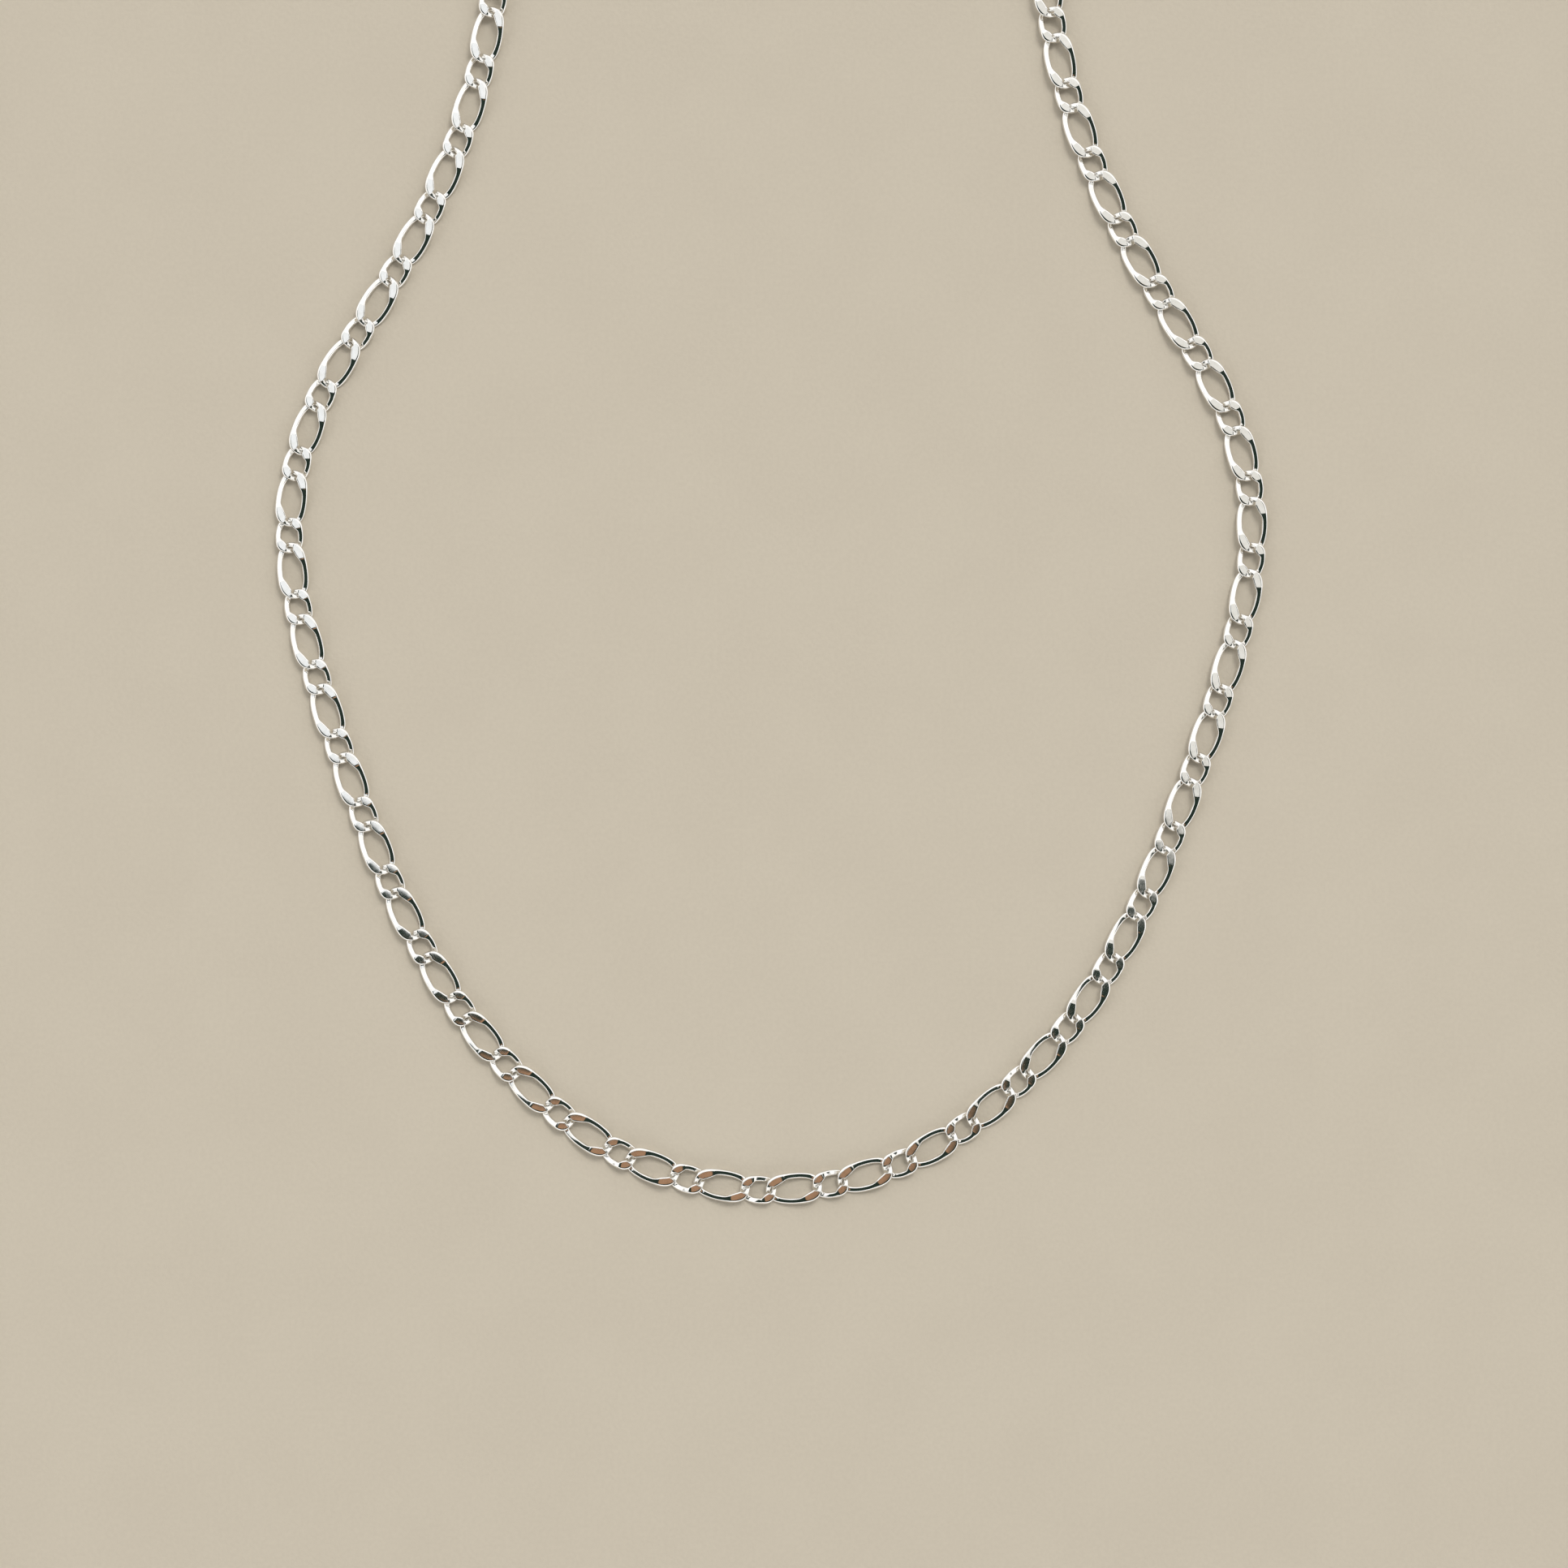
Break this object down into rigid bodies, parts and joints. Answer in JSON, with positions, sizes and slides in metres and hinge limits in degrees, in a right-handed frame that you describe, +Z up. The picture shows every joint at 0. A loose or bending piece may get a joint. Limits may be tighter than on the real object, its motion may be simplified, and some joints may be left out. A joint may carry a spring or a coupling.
{
  "type": "chain necklace",
  "caption": "Figaro chain necklace of alternating long and round flat-cut links, with a lobster clasp, laid flat with the clasp undone.",
  "frame": {"origin": "on the surface that the necklace lies on, under the middle of its box", "axes": "+Z up out of the surface, +Y from the front of the loop towards its two ends, +X to the right seen from above with the front nearest"},
  "size_m": [0.1586, 0.2176, 0.004],
  "materials": {
    "links": "bright polished, flat-cut",
    "rings": "polished",
    "clasp": "polished",
    "lever": "polished",
    "pin_and_spring": "satin"
  },
  "bodies": {
    "links_left_01": {"links_left_01": "links"},
    "links_left_02": {"links_left_02": "links"},
    "links_left_03": {"links_left_03": "links"},
    "links_left_04": {"links_left_04": "links"},
    "links_left_05": {"links_left_05": "links"},
    "links_left_06": {"links_left_06": "links"},
    "links_left_07": {"links_left_07": "links"},
    "links_left_08": {"links_left_08": "links"},
    "links_left_09": {"links_left_09": "links"},
    "links_left_10": {"links_left_10": "links"},
    "links_left_11": {"links_left_11": "links"},
    "links_left_12": {"links_left_12": "links"},
    "links_left_13": {"links_left_13": "links"},
    "links_left_14": {"links_left_14": "links"},
    "links_left_15": {"links_left_15": "links"},
    "links_left_16": {"links_left_16": "links"},
    "links_left_17": {"links_left_17": "links"},
    "links_left_18": {"links_left_18": "links"},
    "links_left_19": {"links_left_19": "links"},
    "links_left_20": {"links_left_20": "links"},
    "links_left_21": {"links_left_21": "links"},
    "links_right_01": {"links_right_01": "links"},
    "links_right_02": {"links_right_02": "links"},
    "links_right_03": {"links_right_03": "links"},
    "links_right_04": {"links_right_04": "links"},
    "links_right_05": {"links_right_05": "links"},
    "links_right_06": {"links_right_06": "links"},
    "links_right_07": {"links_right_07": "links"},
    "links_right_08": {"links_right_08": "links"},
    "links_right_09": {"links_right_09": "links"},
    "links_right_10": {"links_right_10": "links"},
    "links_right_11": {"links_right_11": "links"},
    "links_right_12": {"links_right_12": "links"},
    "links_right_13": {"links_right_13": "links"},
    "links_right_14": {"links_right_14": "links"},
    "links_right_15": {"links_right_15": "links"},
    "links_right_16": {"links_right_16": "links"},
    "links_right_17": {"links_right_17": "links"},
    "links_right_18": {"links_right_18": "links"},
    "links_right_19": {"links_right_19": "links"},
    "links_right_20": {"links_right_20": "links"},
    "links_right_21": {"links_right_21": "links"},
    "end_ring": {"end_ring": "rings"},
    "jump_ring": {"jump_ring": "rings"},
    "clasp_body": {"clasp_body": "clasp", "clasp_pin": "pin_and_spring", "clasp_spring": "pin_and_spring"},
    "clasp_lever": {"clasp_lever": "lever"}
  },
  "joints": [
    {"name": "fold_right_02", "type": "hinge", "parent": "links_right_01", "child": "links_right_02", "pos_m": [0.01143, -0.10515, 0.00076], "axis": [-0.2319, 0.9727, 0], "range_deg": [-40, 40]},
    {"name": "sway_right_03", "type": "hinge", "parent": "links_right_02", "child": "links_right_03", "pos_m": [0.0224, -0.1015, 0.00076], "axis": [0, 0, -1], "range_deg": [-10.2, 23.8]},
    {"name": "fold_right_04", "type": "hinge", "parent": "links_right_03", "child": "links_right_04", "pos_m": [0.03229, -0.0955, 0.00076], "axis": [0.6114, -0.7913, 0], "range_deg": [-40, 40]},
    {"name": "sway_right_05", "type": "hinge", "parent": "links_right_04", "child": "links_right_05", "pos_m": [0.04094, -0.08782, 0.00076], "axis": [0, 0, 1], "range_deg": [-20.5, 13.5]},
    {"name": "fold_right_06", "type": "hinge", "parent": "links_right_05", "child": "links_right_06", "pos_m": [0.04853, -0.07908, 0.00076], "axis": [-0.8058, 0.5922, 0], "range_deg": [-40, 40]},
    {"name": "sway_right_07", "type": "hinge", "parent": "links_right_06", "child": "links_right_07", "pos_m": [0.0548, -0.06935, 0.00076], "axis": [0, 0, -1], "range_deg": [-14.6, 19.4]},
    {"name": "fold_right_08", "type": "hinge", "parent": "links_right_07", "child": "links_right_08", "pos_m": [0.06007, -0.05904, 0.00076], "axis": [0.9145, -0.4046, 0], "range_deg": [-40, 40]},
    {"name": "sway_right_09", "type": "hinge", "parent": "links_right_08", "child": "links_right_09", "pos_m": [0.06439, -0.0483, 0.00076], "axis": [0, 0, 1], "range_deg": [-17.4, 16.6]},
    {"name": "fold_right_10", "type": "hinge", "parent": "links_right_09", "child": "links_right_10", "pos_m": [0.06838, -0.03743, 0.00076], "axis": [-0.9452, 0.3265, 0], "range_deg": [-40, 40]},
    {"name": "sway_right_11", "type": "hinge", "parent": "links_right_10", "child": "links_right_11", "pos_m": [0.07197, -0.02642, 0.00076], "axis": [0, 0, -1], "range_deg": [-16.1, 17.9]},
    {"name": "fold_right_12", "type": "hinge", "parent": "links_right_11", "child": "links_right_12", "pos_m": [0.07511, -0.01527, 0.00076], "axis": [0.9762, -0.2167, 0], "range_deg": [-40, 40]},
    {"name": "sway_right_13", "type": "hinge", "parent": "links_right_12", "child": "links_right_13", "pos_m": [0.07686, -0.00383, 0.00076], "axis": [0, 0, 1], "range_deg": [-23.3, 10.7]},
    {"name": "fold_right_14", "type": "hinge", "parent": "links_right_13", "child": "links_right_14", "pos_m": [0.07617, 0.0077, 0.00076], "axis": [-0.9786, -0.2058, 0], "range_deg": [-40, 40]},
    {"name": "sway_right_15", "type": "hinge", "parent": "links_right_14", "child": "links_right_15", "pos_m": [0.07271, 0.01874, 0.00076], "axis": [0, 0, -1], "range_deg": [-10.8, 23.2]},
    {"name": "fold_right_16", "type": "hinge", "parent": "links_right_15", "child": "links_right_16", "pos_m": [0.06706, 0.02883, 0.00076], "axis": [0.8425, 0.5388, 0], "range_deg": [-40, 40]},
    {"name": "sway_right_17", "type": "hinge", "parent": "links_right_16", "child": "links_right_17", "pos_m": [0.06096, 0.03868, 0.00076], "axis": [0, 0, 1], "range_deg": [-16.4, 17.6]},
    {"name": "fold_right_18", "type": "hinge", "parent": "links_right_17", "child": "links_right_18", "pos_m": [0.0553, 0.04877, 0.00076], "axis": [-0.8969, -0.4422, 0], "range_deg": [-40, 40]},
    {"name": "sway_right_19", "type": "hinge", "parent": "links_right_18", "child": "links_right_19", "pos_m": [0.05062, 0.05936, 0.00076], "axis": [0, 0, -1], "range_deg": [-20, 14]},
    {"name": "fold_right_20", "type": "hinge", "parent": "links_right_19", "child": "links_right_20", "pos_m": [0.04702, 0.07037, 0.00076], "axis": [0.9678, 0.2517, 0], "range_deg": [-40, 40]},
    {"name": "sway_right_21", "type": "hinge", "parent": "links_right_20", "child": "links_right_21", "pos_m": [0.04458, 0.08168, 0.00099], "axis": [0, 0, 1], "range_deg": [-13.5, 20.5]},
    {"name": "sway_left_01", "type": "hinge", "parent": "links_right_01", "child": "links_left_01", "pos_m": [-0.00006, -0.1065, 0.00076], "axis": [0, 0, -1], "range_deg": [-24.1, 9.9]},
    {"name": "fold_left_02", "type": "hinge", "parent": "links_left_01", "child": "links_left_02", "pos_m": [-0.01154, -0.10515, 0.00076], "axis": [0.204, 0.979, 0], "range_deg": [-40, 40]},
    {"name": "sway_left_03", "type": "hinge", "parent": "links_left_02", "child": "links_left_03", "pos_m": [-0.02252, -0.1015, 0.00076], "axis": [0, 0, 1], "range_deg": [-10.3, 23.7]},
    {"name": "fold_left_04", "type": "hinge", "parent": "links_left_03", "child": "links_left_04", "pos_m": [-0.0324, -0.0955, 0.00076], "axis": [-0.5907, -0.8069, 0], "range_deg": [-40, 40]},
    {"name": "sway_left_05", "type": "hinge", "parent": "links_left_04", "child": "links_left_05", "pos_m": [-0.04106, -0.08782, 0.00076], "axis": [0, 0, -1], "range_deg": [-20.6, 13.4]},
    {"name": "fold_left_06", "type": "hinge", "parent": "links_left_05", "child": "links_left_06", "pos_m": [-0.04865, -0.07908, 0.00076], "axis": [0.7938, 0.6082, 0], "range_deg": [-40, 40]},
    {"name": "sway_left_07", "type": "hinge", "parent": "links_left_06", "child": "links_left_07", "pos_m": [-0.05492, -0.06935, 0.00076], "axis": [0, 0, 1], "range_deg": [-14.2, 19.8]},
    {"name": "fold_left_08", "type": "hinge", "parent": "links_left_07", "child": "links_left_08", "pos_m": [-0.06019, -0.05904, 0.00076], "axis": [-0.9089, -0.417, 0], "range_deg": [-40, 40]},
    {"name": "sway_left_09", "type": "hinge", "parent": "links_left_08", "child": "links_left_09", "pos_m": [-0.0645, -0.0483, 0.00076], "axis": [0, 0, -1], "range_deg": [-17.6, 16.4]},
    {"name": "fold_left_10", "type": "hinge", "parent": "links_left_09", "child": "links_left_10", "pos_m": [-0.06849, -0.03743, 0.00076], "axis": [0.9434, 0.3316, 0], "range_deg": [-40, 40]},
    {"name": "sway_left_11", "type": "hinge", "parent": "links_left_10", "child": "links_left_11", "pos_m": [-0.07208, -0.02642, 0.00076], "axis": [0, 0, 1], "range_deg": [-16, 18]},
    {"name": "fold_left_12", "type": "hinge", "parent": "links_left_11", "child": "links_left_12", "pos_m": [-0.07522, -0.01527, 0.00076], "axis": [-0.972, -0.235, 0], "range_deg": [-40, 40]},
    {"name": "sway_left_13", "type": "hinge", "parent": "links_left_12", "child": "links_left_13", "pos_m": [-0.07697, -0.00384, 0.00076], "axis": [0, 0, -1], "range_deg": [-22.5, 11.5]},
    {"name": "fold_left_14", "type": "hinge", "parent": "links_left_13", "child": "links_left_14", "pos_m": [-0.07628, 0.0077, 0.00076], "axis": [0.9852, -0.1712, 0], "range_deg": [-40, 40]},
    {"name": "sway_left_15", "type": "hinge", "parent": "links_left_14", "child": "links_left_15", "pos_m": [-0.07283, 0.01874, 0.00076], "axis": [0, 0, 1], "range_deg": [-11.5, 22.5]},
    {"name": "fold_left_16", "type": "hinge", "parent": "links_left_15", "child": "links_left_16", "pos_m": [-0.06718, 0.02883, 0.00076], "axis": [-0.8443, 0.5358, 0], "range_deg": [-40, 40]},
    {"name": "sway_left_17", "type": "hinge", "parent": "links_left_16", "child": "links_left_17", "pos_m": [-0.06108, 0.03867, 0.00076], "axis": [0, 0, -1], "range_deg": [-16.6, 17.4]},
    {"name": "fold_left_18", "type": "hinge", "parent": "links_left_17", "child": "links_left_18", "pos_m": [-0.05542, 0.04877, 0.00076], "axis": [0.8911, -0.4537, 0], "range_deg": [-40, 40]},
    {"name": "sway_left_19", "type": "hinge", "parent": "links_left_18", "child": "links_left_19", "pos_m": [-0.05074, 0.05936, 0.00076], "axis": [0, 0, 1], "range_deg": [-19.8, 14.2]},
    {"name": "fold_left_20", "type": "hinge", "parent": "links_left_19", "child": "links_left_20", "pos_m": [-0.04714, 0.07036, 0.00076], "axis": [-0.9639, 0.2661, 0], "range_deg": [-40, 40]},
    {"name": "sway_left_21", "type": "hinge", "parent": "links_left_20", "child": "links_left_21", "pos_m": [-0.0447, 0.08167, 0.00107], "axis": [0, 0, -1], "range_deg": [-13.8, 20.2]},
    {"name": "end_ring_fold", "type": "hinge", "parent": "links_left_21", "child": "end_ring", "pos_m": [-0.04348, 0.09318, 0.00205], "axis": [-0.9963, 0.0859, 0], "range_deg": [-50, 50]},
    {"name": "jump_ring_sway", "type": "hinge", "parent": "links_right_21", "child": "jump_ring", "pos_m": [0.04336, 0.09321, 0.00175], "axis": [0, 0, 1], "range_deg": [-35, 35]},
    {"name": "clasp_fold", "type": "hinge", "parent": "jump_ring", "child": "clasp_body", "pos_m": [0.04321, 0.09514, 0.00166], "axis": [-0.9971, -0.076, 0], "range_deg": [-40, 25]},
    {"name": "lever_open", "type": "hinge", "parent": "clasp_body", "child": "clasp_lever", "pos_m": [0.04188, 0.10085, 0.00166], "axis": [0, 0, -1], "range_deg": [0, 24], "stiffness_Nm_per_rad": 0.003, "springref_deg": -11.46}
  ]
}
